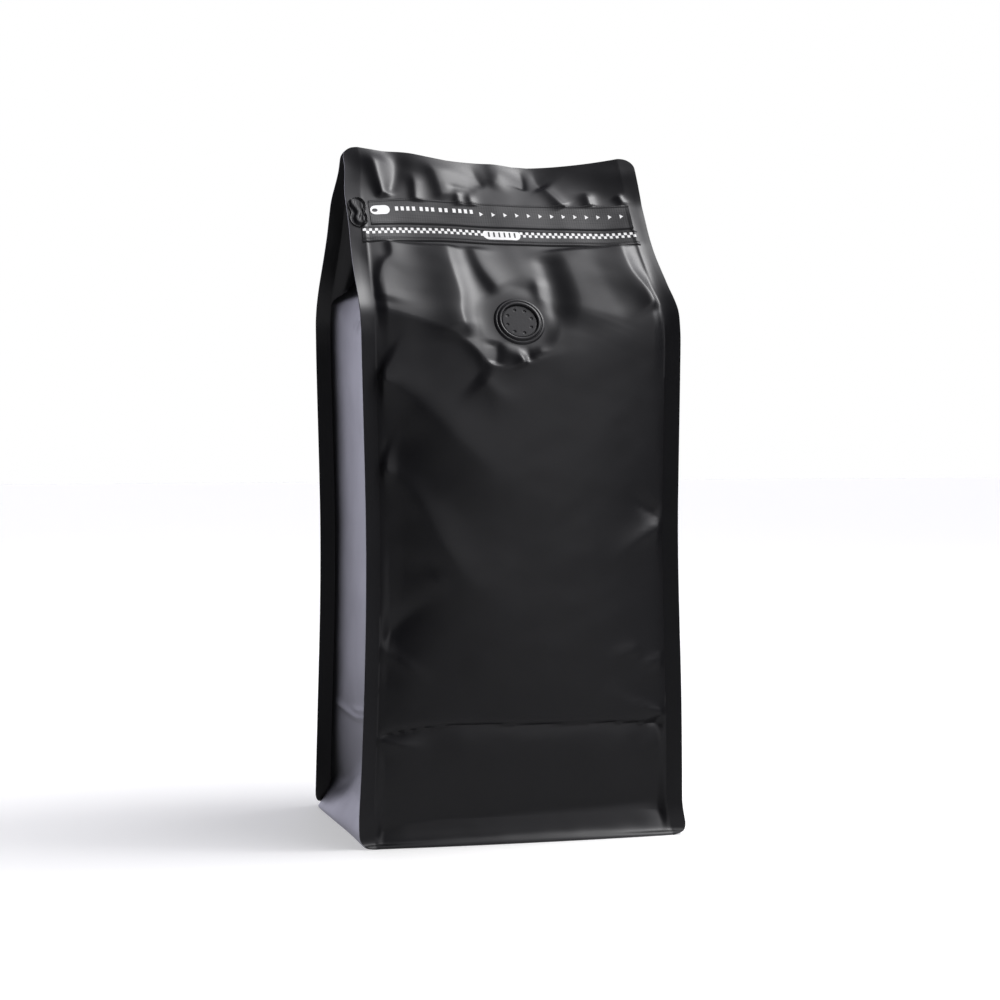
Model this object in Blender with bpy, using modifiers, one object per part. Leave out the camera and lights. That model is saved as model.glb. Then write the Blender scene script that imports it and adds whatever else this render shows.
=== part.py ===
"""A flat-bottomed coffee bag for about 1 kg of beans: matt film, side gussets, pull-tab zipper, valve.

The bag stands on its own bottom, with its front towards -Y. Lengths below are in millimetres, and the
meshes are scaled to metres as they are made. The front and back panels are drawn in film coordinates:
u runs across the flat film from its centre line, v runs up the film from the bottom edge.
"""

import math

import bmesh
import bpy
import numpy as np
from mathutils import Matrix, Vector

MM = 0.001

# Film sizes, flat
FILM_WIDTH = 146.0
FIN_WIDTH = 7.0
GUSSET = 102.0
SEAM_U = FILM_WIDTH / 2 - FIN_WIDTH
HALF_GUSSET = GUSSET / 2
TOP_CORNER_RADIUS = 6.0
FOOT_CORNER_RADIUS = 4.5

# Heights up the film
SKIRT_V = 9.0
SHOULDER_V = 230.0
ZIPPER_ROWS = (268.3, 269.1, 271.4, 272.0, 276.0, 276.6, 277.4)
TEAR_STRIP_ROWS = (278.0, 278.8, 290.3, 291.2)

# Solid thicknesses
LEAF = 1.1
SLIT = 1.0
FIN_THICK = 1.0
GAP = 0.3
BAND_THICK = 0.6
BAND_END_U = 64.0
RIB_HEIGHT = 0.35

# The two profiles of a panel as (distance from the middle plane, height): at its seams and at its centre
SEAM_PROFILE = (
    (53.5, 0.0), (50.0, SKIRT_V), (51.0, 60.0), (51.0, 130.0), (51.0, 200.0), (50.5, 224.0),
    (46.5, 236.5), (32.0, 258.0), (16.0, 282.0), (0.0, 305.5),
)
CENTRE_PROFILE = (
    (55.5, 0.0), (52.0, SKIRT_V), (57.0, 40.0), (61.5, 90.0), (62.5, 150.0), (60.5, 192.0),
    (54.5, 216.0), (43.5, 238.0), (30.0, 261.0), (14.0, 282.0), (0.0, 300.5),
)
BULGE_POWER = 2.3

# How far the seams are drawn in, and how far the soft bag leans to +X, at each height
BELLY_PINCH = 1.6
SHOULDER_PINCH = 0.9
HEADER_PINCH = 2.6
FOOT_SWAY = -0.36
BELLY_SWAY = 0.4
HEADER_SWAY = -1.8

# The bottom seal of the front panel stands forward on the right
SKIRT_SWAY = 1.0
SKIRT_SKEW = 2.5
SKIRT_BLEND = 8.0

# The corner fins
FIN_FLARE = math.radians(24)
FIN_FOOT_FLARE = 0.45
FIN_FLAT_V = 268.0
FIN_FLAT_BLEND = 40.0

# The gusset: its slack, the roof that folds in above the shoulder, and the fold and spread of its foot
GUSSET_SLACK = 2.5
ROOF_ARCH = 10.0
ROOF_FLATNESS = 5
ROOF_TOP = 1.02
FOOT_FOLD_FRONT = 50.0
FOOT_FOLD_BACK = 0.0
FOOT_PIT = 5.0
FOOT_PIT_BELOW = 10.0
FOOT_PIT_ABOVE = 26.0
FOOT_SPREAD = 4.0
FOOT_HEIGHT = 16.0

# Header waves: where they start and are fullest up the bag, their height, and two lengths across it
WAVE_START = 262.0
WAVE_FULL = 305.0
WAVE_HEIGHT = 2.4
WAVE_LONG = 10.5
WAVE_SHORT = 6.3

# The level lines of the front film rise between the seams, over and under the zipper
BOW_RISE = 4.4
BOW_U = -20.0
BOW_REACH = (46.0, 86.0)
BOW_START = 225.0
BOW_BLENDS = (38.0, 26.0)

# The top edge stands up left of the middle and droops right of it: height, place and reach of each
EDGE_RISE = (1.9, -42.0, 13.0)
EDGE_DROOP = (1.3, 0.0, 20.0)
EDGE_START = 288.0

# The valve
VALVE_U = -1.2
VALVE_V = 231.0
VALVE_PAD = 14.0
VALVE_PAD_BLEND = 12.0
VALVE_R = 11.0
VALVE_RIM_INNER_R = 8.0
VALVE_RIM_HEIGHT = 1.5
VALVE_CAP_R = 7.7
VALVE_CAP_HEIGHT = 0.8
VALVE_HOLES = 8
VALVE_HOLE_R = 0.55
VALVE_HOLE_CIRCLE_R = 5.9

# The pull tab, a figure of eight
TAB_U = -69.2
TAB_V = 284.5
TAB_LOBE_R = 4.4
TAB_LOBE_PITCH = 7.6

# Colours: (red, green, blue, alpha), roughness
BLACK_FILM = ((0.016, 0.016, 0.018, 1.0), 0.42)
GREY_BAND = ((0.022, 0.022, 0.024, 1.0), 0.38)
VALVE_BLACK = ((0.014, 0.014, 0.015, 1.0), 0.32)

# Folds pressed into the film: start (u, v), end (u, v), height, half width
FRONT_FOLDS = (
    ((-66.0, 283.0), (66.0, 283.0), -2.6, 20.0),
    ((-66.0, 230.5), (-16.0, 209.0), 2.0, 8.0),
    ((-6.0, 209.0), (65.0, 228.0), 2.0, 8.0),
    ((-31.0, 266.0), (-26.0, 222.0), 2.4, 6.0),
    ((-18.0, 266.0), (-12.0, 246.0), -1.6, 5.0),
    ((33.0, 266.0), (17.0, 226.0), 2.2, 9.0),
    ((56.0, 264.0), (64.0, 232.0), 1.8, 4.5),
    ((-65.0, 204.0), (-5.0, 146.0), 1.1, 9.0),
    ((-65.0, 166.0), (-12.0, 108.0), 1.1, 9.0),
    ((-65.0, 90.0), (-38.0, 109.0), -0.9, 5.0),
    ((65.0, 139.0), (40.0, 125.0), 0.9, 5.0),
    ((-65.0, 49.5), (65.0, 52.0), -0.8, 3.5),
)
CALM_EDGES = (9.0, 12.0, 14.0)
BACK_FOLDS = (
    ((-66.0, 283.0), (66.0, 283.0), -2.6, 20.0),
    ((-66.0, 230.0), (0.0, 214.0), 2.0, 8.0),
    ((0.0, 214.0), (66.0, 230.0), 2.0, 8.0),
    ((-32.0, 268.0), (-12.0, 222.0), 2.0, 7.0),
    ((29.0, 268.0), (10.0, 222.0), 2.0, 7.0),
    ((66.0, 170.0), (0.0, 136.0), 1.25, 9.0),
    ((-66.0, 118.0), (-10.0, 70.0), 1.0, 9.0),
    ((-65.0, 52.0), (65.0, 52.0), -0.8, 3.5),
)


def clamp(x, low=0.0, high=1.0):
    return max(low, min(high, x))


def smooth(x):
    x = clamp(x)
    return x * x * (3 - 2 * x)


def rounded_line(points, steps=14):
    """A Catmull-Rom curve through the points, as (lengths along it, its points)."""
    ends = [2 * np.array(points[0]) - np.array(points[1]), *map(np.array, points)]
    ends.append(2 * ends[-1] - ends[-2])
    line = []
    for a, b, c, d in zip(ends, ends[1:], ends[2:], ends[3:]):
        for t in np.linspace(0, 1, steps, endpoint=False):
            line.append(0.5 * (2 * b + (c - a) * t + (2 * a - 5 * b + 4 * c - d) * t**2
                               + (3 * b - 3 * c + d - a) * t**3))
    line = np.array([*line, ends[-2]])
    lengths = np.concatenate([[0], np.cumsum(np.linalg.norm(np.diff(line, axis=0), axis=1))])
    return lengths, line


SEAM_LINE = rounded_line(SEAM_PROFILE)
CENTRE_LINE = rounded_line(CENTRE_PROFILE)
FILM_LENGTH = float(SEAM_LINE[0][-1])


def on_line(line, v):
    """(distance from the middle plane, height) where v is the height up the film."""
    lengths, points = line
    at = v / FILM_LENGTH * lengths[-1]
    return np.array([np.interp(at, lengths, points[:, i]) for i in (0, 1)])


def belly(v):
    """How full the bag is at this height, from 0 at the bottom and the shoulder to 1 between them."""
    return max(0.0, math.sin(math.pi * clamp(v / SHOULDER_V))) ** 1.5


def half_width(v):
    """Half the distance between the seams: a filled panel bulges, which draws its seams in."""
    header = smooth((v - SHOULDER_V) / 50.0)
    return SEAM_U - BELLY_PINCH * belly(v) - SHOULDER_PINCH * smooth(v / 150.0) - HEADER_PINCH * header


def sway(v):
    """How far to +X the soft bag leans at this height."""
    header = smooth((v - 0.95 * SHOULDER_V) / 55.0)
    return FOOT_SWAY + BELLY_SWAY * belly(v) + HEADER_SWAY * header


def header_wave(x, z):
    """The top is soft: front and back swing together, more towards the top edge."""
    rise = smooth((z - WAVE_START) / (WAVE_FULL - WAVE_START))
    edge = 1 - abs(x / (FILM_WIDTH / 2)) ** 4
    return WAVE_HEIGHT * rise * edge * (math.sin(x / WAVE_LONG + 0.9) + 0.6 * math.sin(x / WAVE_SHORT))


def fold_height(folds, u, v):
    """The sum of the folds at a point of the film. Each is a ridge, or a valley where it is below zero."""
    total = 0.0
    for (u0, v0), (u1, v1), height, width in folds:
        run = Vector((u1 - u0, v1 - v0))
        offset = Vector((u - u0, v - v0))
        along = offset.dot(run) / run.length_squared
        across = abs(offset.x * run.y - offset.y * run.x) / run.length
        body = smooth((along + 0.12) / 0.24) * smooth((1.12 - along) / 0.24)
        total += height * body * math.exp(-((across / width) ** 2))
    return total


def fin_flare(v):
    """The corner fins stand out of the panels, less so at the foot, and lie flat in the header."""
    top = smooth((FIN_FLAT_V - v) / FIN_FLAT_BLEND)
    foot = FIN_FOOT_FLARE + (1 - FIN_FOOT_FLARE) * smooth(v / 40.0)
    return FIN_FLARE * top * foot


def edge_rise(u, v):
    """How far the top of the film stands over its plain outline at this point."""
    height, place, reach = EDGE_RISE
    droop, start, blend = EDGE_DROOP
    swell = height * math.exp(-(((u - place) / reach) ** 2)) - droop * smooth((u - start) / blend)
    return swell * smooth((v - EDGE_START) / (FILM_LENGTH - EDGE_START))


def panel_base(u, v, facing):
    """A panel without its folds. facing is -1 for the front, which looks to -Y, and 1 for the back."""
    inner = clamp(u, -SEAM_U, SEAM_U)
    crown = 1 - abs(inner / SEAM_U) ** BULGE_POWER
    depth, height = (1 - crown) * on_line(SEAM_LINE, v) + crown * on_line(CENTRE_LINE, v)
    x = inner * half_width(v) / SEAM_U + sway(v)
    if facing < 0:
        skirt = smooth(1 - v / (SKIRT_V + SKIRT_BLEND))
        depth += SKIRT_SKEW * skirt * inner / SEAM_U
        x += SKIRT_SWAY * skirt
    y = facing * (depth + LEAF + SLIT / 2)
    beyond = u - inner
    if beyond:
        flare = fin_flare(v)
        x += beyond * math.cos(flare)
        y += facing * abs(beyond) * math.sin(flare)
    return Vector((x, y, height + edge_rise(u, v)))


def panel_normal(u, v, facing, step=1.5):
    across = panel_base(u + step, v, facing) - panel_base(u - step, v, facing)
    up = panel_base(u, min(v + step, FILM_LENGTH), facing) - panel_base(u, max(v - step, 0), facing)
    return (-facing * across.cross(up)).normalized()


VALVE_CENTRE = panel_base(VALVE_U, VALVE_V, -1)
VALVE_NORMAL = panel_normal(VALVE_U, VALVE_V, -1, step=6.0)


def line_bow(u, v):
    """How far a level line of the front film rises at this point."""
    left, right = BOW_REACH
    share = (u - BOW_U) / (right if u > BOW_U else left)
    low, high = BOW_BLENDS
    return BOW_RISE * max(1 - share**2, 0.0) * smooth((v - BOW_START) / low) * smooth((FILM_LENGTH - v) / high)


def panel_point(u, v, facing, lift=0.0):
    """A point of a panel with its folds, lifted off the film by lift. The front has a flat pad for the valve."""
    if facing < 0:
        v += line_bow(u, v)
    base = panel_base(u, v, facing)
    normal = panel_normal(clamp(u, -SEAM_U, SEAM_U), v, facing)
    folds = FRONT_FOLDS if facing < 0 else BACK_FOLDS
    calm_seam, calm_foot, calm_top = CALM_EDGES
    quiet = smooth((SEAM_U - abs(u)) / calm_seam) * smooth(v / calm_foot)
    quiet *= smooth((FILM_LENGTH - v) / calm_top)
    point = base + normal * (fold_height(folds, u, v) * quiet + lift)
    if facing < 0:
        out = point - VALVE_CENTRE
        level = point - VALVE_NORMAL * (out.dot(VALVE_NORMAL) - lift)
        away = math.hypot(u - VALVE_U, v - VALVE_V)
        point = point.lerp(level, smooth((VALVE_PAD + VALVE_PAD_BLEND - away) / VALVE_PAD_BLEND))
    point.y += header_wave(point.x, point.z)
    return point


def foot_inset(q, z):
    """How far the lower gusset lies inside the seams: a pit above a slanting fold, and a foot that spreads."""
    share = abs(q) / HALF_GUSSET
    middle = 1 - share**2
    along = (HALF_GUSSET - q) / GUSSET
    fold = FOOT_FOLD_BACK + (FOOT_FOLD_FRONT - FOOT_FOLD_BACK) * along**1.2
    reach = FOOT_PIT_BELOW if z < fold else FOOT_PIT_ABOVE
    pit = FOOT_PIT * middle * math.exp(-(((z - fold) / reach) ** 2))
    return pit * smooth(z / 6.0) - FOOT_SPREAD * (1 - share**14) * smooth(1 - z / FOOT_HEIGHT)


def roof_share(v, share):
    """How far the gusset has folded in at this height, from none at its roof's edge to all of it."""
    start = SHOULDER_V + ROOF_ARCH * (1 - share**ROOF_FLATNESS)
    return clamp((v - start) / (ROOF_TOP * FILM_LENGTH - start), 0.0, 0.96)


def crease_share(v):
    """Where on the gusset film the crease lies between the leaf on a panel and the sloping roof."""
    low, high = 0.0, 1.0
    for _ in range(30):
        middle = (low + high) / 2
        if 1 - middle > roof_share(v, middle):
            low = middle
        else:
            high = middle
    return low


def seam_root(side, facing, v):
    """The inner corner where a panel, a gusset and their fin meet."""
    root = panel_base(side * SEAM_U, v, facing)
    root.y -= facing * LEAF
    return root


def gusset_point(side, q, v):
    """A point of a side gusset. q runs across its film from the front seam, -HALF_GUSSET, to the back one."""
    share = abs(q) / HALF_GUSSET
    crease = crease_share(v)
    if share >= crease:
        return leaf_point(side, math.copysign(1, q), HALF_GUSSET * (1 - share), v)
    ends = [leaf_point(side, facing, HALF_GUSSET * (1 - crease), v) for facing in (-1, 1)]
    point = ends[0].lerp(ends[1], (q / HALF_GUSSET / crease + 1) / 2)
    folded = HALF_GUSSET * (roof_share(v, share) - roof_share(v, crease))
    taut = 1 - clamp((v - SHOULDER_V) / (FILM_LENGTH - SHOULDER_V))
    slack = GUSSET_SLACK * (1 - (share / crease) ** 2) * taut * smooth(v / 30.0)
    point.x -= side * (folded + slack + foot_inset(q, point.z) * smooth(taut))
    return point


def leaf_point(side, facing, inset, v):
    """A point of the gusset film where it lies against the inside of a panel, inset from its seam."""
    root = seam_root(side, facing, v)
    root.y += header_wave(root.x, root.z)
    if inset <= 0:
        return root
    leaf = panel_point(side * (SEAM_U - inset), v, facing, -LEAF)
    return root.lerp(leaf, smooth(inset / 4.0))


def fin_point(side, facing, v, beyond, behind):
    """A point of a corner fin, beyond its seam and on its rear face where behind is true."""
    point = panel_point(side * (SEAM_U + beyond), v, facing)
    if behind:
        flare = fin_flare(v)
        point += FIN_THICK * Vector((side * math.sin(flare), -facing * math.cos(flare), 0))
    return point


def corner_trim(v):
    """How much of the fin is left at this height, as its outer corners are rounded."""
    radius = TOP_CORNER_RADIUS if v > FILM_LENGTH / 2 else FOOT_CORNER_RADIUS
    drop = radius - max(min(v - 1.0, FILM_LENGTH - v), 0.0)
    if drop <= 0:
        return FIN_WIDTH
    return FIN_WIDTH - radius + math.sqrt(radius**2 - drop**2)


def levels():
    """Heights up the film where the bag is cut, closer together where it bends."""
    rows = [0.0, 1.2, 2.4, 4.0, 6.0, SKIRT_V, 12.5, 17.0, 22.0, 28.0, 34.0, 40.0, 45.5, 50.0, 55.0, 63.0, 74.0]
    rows += list(np.linspace(88, 200, 8))
    rows += [208.0, 215.0, 221.0, 226.0, 231.0, 236.0, 241.0, 246.5, 252.5, 259.0]
    rows += [263.5, *ZIPPER_ROWS, *TEAR_STRIP_ROWS[:2], 282.5, 286.5, *TEAR_STRIP_ROWS[2:], 296.5, 303.0, 309.0]
    rows += [FILM_LENGTH - 6.0, FILM_LENGTH - 3.0, FILM_LENGTH - 1.2, FILM_LENGTH]
    return rows


FRONT_COLUMNS = np.linspace(-SEAM_U, SEAM_U, 25)
BACK_COLUMNS = np.linspace(-SEAM_U, SEAM_U, 13)


def gusset_columns(v):
    """Columns of the gusset film, with some on each leaf and the rest across the roof between them."""
    crease = min(crease_share(v), 0.88) * HALF_GUSSET
    leaf = np.linspace(HALF_GUSSET, crease, 3)[:-1]
    return [*-leaf, *np.linspace(-crease, crease, 7), *leaf[::-1]]


def section(v):
    """The closed outline of the bag at one height up the film, anticlockwise from above."""
    trim = corner_trim(v)
    front = [panel_point(u, v, -1) for u in FRONT_COLUMNS]
    back = [panel_point(u, v, 1) for u in BACK_COLUMNS]
    right = [gusset_point(1, q, v) for q in gusset_columns(v)]
    left = [gusset_point(-1, q, v) for q in gusset_columns(v)]
    fins = {(s, f): [fin_point(s, f, v, trim, False), fin_point(s, f, v, trim, True)]
            for s in (-1, 1) for f in (-1, 1)}
    return [*front, *fins[1, -1], *right, *reversed(fins[1, 1]), *reversed(back),
            *fins[-1, 1], *reversed(left), *reversed(fins[-1, -1])]


def new_object(name, bm, material, collection):
    mesh = bpy.data.meshes.new(name)
    bm.to_mesh(mesh)
    bm.free()
    mesh.materials.append(material)
    obj = bpy.data.objects.new(name, mesh)
    collection.objects.link(obj)
    mesh.shade_smooth()
    mesh.set_sharp_from_angle(angle=math.radians(35))
    return obj


def loft(rings):
    """A closed skin through rings of points, with a flat fill at each end."""
    bm = bmesh.new()
    rows = [[bm.verts.new(p * MM) for p in ring] for ring in rings]
    for low, high in zip(rows, rows[1:]):
        for i in range(len(low)):
            j = (i + 1) % len(low)
            bm.faces.new((low[i], low[j], high[j], high[i]))
    for row in (rows[0], rows[-1]):
        edges = [bm.edges.get((row[i], row[(i + 1) % len(row)])) for i in range(len(row))]
        bmesh.ops.triangle_fill(bm, edges=edges, use_beauty=True, use_dissolve=False, normal=(0, 0, 1))
    bmesh.ops.recalc_face_normals(bm, faces=bm.faces)
    return bm


def strip(u_columns, v_rows, thickness):
    """A band that follows the front film, standing off it by the gap, as thick as thickness(v) says."""
    bm = bmesh.new()
    under = [[bm.verts.new(panel_point(u, v, -1, GAP) * MM) for u in u_columns] for v in v_rows]
    over = [[bm.verts.new(panel_point(u, v, -1, GAP + thickness(v)) * MM) for u in u_columns] for v in v_rows]
    for sheet in (under, over):
        for low, high in zip(sheet, sheet[1:]):
            for j in range(len(u_columns) - 1):
                bm.faces.new((low[j], low[j + 1], high[j + 1], high[j]))
    rims = []
    for sheet in (under, over):
        right = [row[-1] for row in sheet[1:-1]]
        left = [row[0] for row in sheet[-2:0:-1]]
        rims.append([*sheet[0], *right, *reversed(sheet[-1]), *left])
    for i in range(len(rims[0])):
        j = (i + 1) % len(rims[0])
        bm.faces.new((rims[0][i], rims[0][j], rims[1][j], rims[1][i]))
    bmesh.ops.recalc_face_normals(bm, faces=bm.faces)
    return bm


def make_material(name, look):
    colour, roughness = look
    material = bpy.data.materials.new(name)
    material.use_nodes = True
    shader = material.node_tree.nodes["Principled BSDF"]
    shader.inputs["Base Color"].default_value = colour
    shader.inputs["Roughness"].default_value = roughness
    shader.inputs["Metallic"].default_value = 0.0
    return material


def valve_frame():
    """The matrix that stands a turned piece on the valve's pad, its axis out of the film."""
    turn = VALVE_NORMAL.to_track_quat("Z", "Y").to_matrix().to_4x4()
    return Matrix.Translation(VALVE_CENTRE * MM) @ turn


def turned(name, profile, material, collection, steps=32):
    """A closed profile of (radius, height) turned about the valve's axis."""
    mesh = bpy.data.meshes.new(name)
    points = [(r * MM, 0, h * MM) for r, h in profile]
    on_axis = profile[0][0] == 0
    edges = [(i, i + 1) for i in range(len(points) - 1)]
    if not on_axis:
        edges.append((len(points) - 1, 0))
    mesh.from_pydata(points, edges, [])
    obj = bpy.data.objects.new(name, mesh)
    collection.objects.link(obj)
    mesh.materials.append(material)
    obj.matrix_world = valve_frame()
    screw = obj.modifiers.new("Turn", "SCREW")
    screw.axis = "Z"
    screw.steps = steps
    screw.render_steps = steps
    screw.use_merge_vertices = True
    screw.merge_threshold = 0.00001
    screw.use_normal_calculate = True
    return obj


def build_valve(material, collection, cutters):
    foot = GAP
    top = GAP + VALVE_RIM_HEIGHT
    middle_r = (VALVE_R + VALVE_RIM_INNER_R) / 2
    turned("valve_rim", (
        (VALVE_RIM_INNER_R, foot), (VALVE_RIM_INNER_R, foot + 0.7 * VALVE_RIM_HEIGHT),
        (VALVE_RIM_INNER_R + 0.5, top), (middle_r, top), (middle_r + 0.3, top - 0.35),
        (middle_r + 0.7, top - 0.35), (middle_r + 1.0, top - 0.05), (VALVE_R - 0.3, top - 0.5),
        (VALVE_R, foot + 0.2), (VALVE_R, foot),
    ), material, collection)
    cap = turned("valve_cap", (
        (0.0, foot + VALVE_CAP_HEIGHT), (VALVE_CAP_R - 0.6, foot + VALVE_CAP_HEIGHT),
        (VALVE_CAP_R, foot + VALVE_CAP_HEIGHT - 0.3), (VALVE_CAP_R, foot), (0.0, foot),
    ), material, collection)
    for i in range(VALVE_HOLES):
        angle = 2 * math.pi * (i + 0.5) / VALVE_HOLES
        bpy.ops.mesh.primitive_cylinder_add(vertices=10, radius=VALVE_HOLE_R * MM, depth=1.0 * MM)
        hole = bpy.context.object
        hole.name = f"valve_hole_cutter_{i}"
        offset = Vector((VALVE_HOLE_CIRCLE_R * math.cos(angle), VALVE_HOLE_CIRCLE_R * math.sin(angle),
                         foot + VALVE_CAP_HEIGHT)) * MM
        hole.matrix_world = valve_frame() @ Matrix.Translation(offset)
        hole.hide_render = True
        hole.display_type = "WIRE"
        for owner in hole.users_collection:
            owner.objects.unlink(hole)
        cutters.objects.link(hole)
        cut = cap.modifiers.new(f"Hole {i}", "BOOLEAN")
        cut.object = hole
        cut.operation = "DIFFERENCE"


def build_tab(material, collection):
    """The pull tab at the end of the tear strip: two round lobes with a waist, cut out of the left fins."""
    count = 36
    outline = []
    for i in range(count):
        angle = 2 * math.pi * i / count
        reach = TAB_LOBE_R + TAB_LOBE_PITCH / 2 * math.sin(angle) ** 2
        outline.append((TAB_U + reach * math.cos(angle) * 0.62, TAB_V + reach * math.sin(angle)))
    bm = bmesh.new()
    rings = [[bm.verts.new(panel_point(u, v, -1, lift) * MM) for u, v in outline]
             for lift in (GAP, GAP + BAND_THICK)]
    for i in range(count):
        j = (i + 1) % count
        bm.faces.new((rings[0][i], rings[0][j], rings[1][j], rings[1][i]))
    for lift, ring in zip((GAP, GAP + BAND_THICK), rings):
        hub = bm.verts.new(panel_point(TAB_U, TAB_V, -1, lift) * MM)
        for i in range(count):
            bm.faces.new((hub, ring[i], ring[(i + 1) % count]))
    bmesh.ops.recalc_face_normals(bm, faces=bm.faces)
    return new_object("pull_tab", bm, material, collection)


def main():
    for obj in list(bpy.data.objects):
        bpy.data.objects.remove(obj, do_unlink=True)
    scene = bpy.context.scene
    parts = bpy.data.collections.new("coffee_bag")
    cutters = bpy.data.collections.new("coffee_bag_cutters")
    cutters.hide_render = True
    scene.collection.children.link(parts)
    scene.collection.children.link(cutters)

    film = make_material("black_film", BLACK_FILM)
    band = make_material("grey_band", GREY_BAND)
    plastic = make_material("valve_black", VALVE_BLACK)

    new_object("bag", loft([section(v) for v in levels()]), film, parts)

    def ribbed(v):
        return BAND_THICK + RIB_HEIGHT * (ZIPPER_ROWS[3] <= v <= ZIPPER_ROWS[4])

    columns = [-BAND_END_U, *FRONT_COLUMNS[1:-1], BAND_END_U]
    new_object("zipper_band", strip(columns, ZIPPER_ROWS, ribbed), band, parts)
    new_object("tear_strip", strip(columns, TEAR_STRIP_ROWS, lambda v: BAND_THICK), band, parts)
    build_tab(band, parts)
    build_valve(plastic, parts, cutters)


main()
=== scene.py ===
"""The looks of a flat-bottomed coffee bag: matt black film with its folds, the valve, the tear strip and
zipper band with their white print, a pull tab, and a plain pale studio.

Shapes are worked out in millimetres, in the film coordinates of the CAD: u runs across the flat film from
its centre line, v up the film from its bottom edge. q runs across a gusset from its front seam.
"""

import math

import bmesh
import bpy
import numpy as np
from mathutils import Matrix, Vector


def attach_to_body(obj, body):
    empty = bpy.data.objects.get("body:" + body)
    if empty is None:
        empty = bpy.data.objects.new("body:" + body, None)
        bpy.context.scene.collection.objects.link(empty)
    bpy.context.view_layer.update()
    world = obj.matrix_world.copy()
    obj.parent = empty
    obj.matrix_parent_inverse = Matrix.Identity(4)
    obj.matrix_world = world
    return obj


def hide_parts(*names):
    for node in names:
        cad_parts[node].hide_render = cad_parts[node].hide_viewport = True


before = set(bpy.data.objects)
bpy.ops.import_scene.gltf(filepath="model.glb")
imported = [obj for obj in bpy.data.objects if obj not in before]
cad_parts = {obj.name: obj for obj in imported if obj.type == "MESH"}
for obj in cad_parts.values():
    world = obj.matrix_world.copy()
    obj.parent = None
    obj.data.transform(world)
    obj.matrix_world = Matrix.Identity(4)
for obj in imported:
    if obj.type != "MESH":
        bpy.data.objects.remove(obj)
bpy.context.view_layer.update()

MM = 0.001

# ---------------------------------------------------------------- sizes of the film, as the CAD has them
FIN_WIDTH = 7.0
SEAM_U = 66.0
HALF_GUSSET = 51.0
TOP_CORNER_RADIUS = 6.0
FOOT_CORNER_RADIUS = 6.6
SKIRT_V = 9.0
SHOULDER_V = 230.0
ZIPPER_V = (268.3, 277.4)
TEAR_STRIP_V = (278.0, 292.2)
BAND_END_U = 67.5
CAD_LEAF = 1.6
LEAF = 0.45
FIN_THICK = 0.45

SEAM_PROFILE = (
    (53.5, 0.0), (50.0, SKIRT_V), (51.0, 60.0), (51.0, 130.0), (51.0, 200.0), (50.5, 224.0),
    (46.5, 236.5), (32.0, 258.0), (16.0, 282.0), (0.0, 305.5),
)
CENTRE_PROFILE = (
    (55.5, 0.0), (52.0, SKIRT_V), (57.0, 40.0), (61.5, 90.0), (62.5, 150.0), (60.5, 192.0),
    (54.5, 216.0), (43.5, 238.0), (30.0, 261.0), (14.0, 282.0), (0.0, 300.5),
)
BULGE_POWER = 2.3
FIN_FLARE = math.radians(24)


def smooth(x):
    x = np.clip(x, 0.0, 1.0)
    return x * x * (3 - 2 * x)


def rounded_line(points, steps=60):
    """A Catmull-Rom curve through the points, as (lengths along it, its points)."""
    points = [np.array(p, float) for p in points]
    ends = [2 * points[0] - points[1], *points, 2 * points[-1] - points[-2]]
    t = np.linspace(0, 1, steps, endpoint=False)[:, None]
    runs = [0.5 * (2 * b + (c - a) * t + (2 * a - 5 * b + 4 * c - d) * t**2 + (3 * b - 3 * c + d - a) * t**3)
            for a, b, c, d in zip(ends, ends[1:], ends[2:], ends[3:])]
    line = np.concatenate([*runs, [points[-1]]])
    lengths = np.concatenate([[0], np.cumsum(np.linalg.norm(np.diff(line, axis=0), axis=1))])
    return lengths, line


SEAM_LINE = rounded_line(SEAM_PROFILE)
CENTRE_LINE = rounded_line(CENTRE_PROFILE)
FILM_LENGTH = float(SEAM_LINE[0][-1])


def on_line(line, v):
    lengths, points = line
    at = np.asarray(v) / FILM_LENGTH * lengths[-1]
    return np.interp(at, lengths, points[:, 0]), np.interp(at, lengths, points[:, 1])


def belly(v):
    return np.maximum(0.0, np.sin(np.pi * np.clip(v / SHOULDER_V, 0, 1))) ** 1.5


def half_width(v):
    return SEAM_U - 1.6 * belly(v) - 0.9 * smooth(v / 150.0) - 2.6 * smooth((v - SHOULDER_V) / 50.0)


def sway(v):
    return -0.36 + 0.4 * belly(v) - 1.8 * smooth((v - 0.95 * SHOULDER_V) / 55.0)


def fin_flare(v):
    top = smooth((268.0 - v) / 40.0)
    return FIN_FLARE * top * (0.45 + 0.55 * smooth(v / 40.0))


HEADER_WAVE = rounded_line((
    (-71.3, 0.6), (-59.0, 2.2), (-48.6, -1.0), (-28.7, 2.2), (-7.9, -0.8), (1.6, -0.8), (19.6, -3.6),
    (43.3, 1.4), (67.3, 7.4), (72.0, 8.4)))[1]


def header_wave(x, z):
    """How far the shut header, both panels together, waves back from a straight line."""
    return -np.interp(x, HEADER_WAVE[:, 0], HEADER_WAVE[:, 1]) * smooth((z - 280.0) / 19.0)


def edge_rise(u, v):
    """The top edge stands up left of the middle and droops right of it."""
    swell = 1.9 * np.exp(-(((u + 42.0) / 13.0) ** 2)) - 1.3 * smooth(u / 20.0)
    return swell * smooth((v - 288.0) / (FILM_LENGTH - 288.0))


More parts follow.
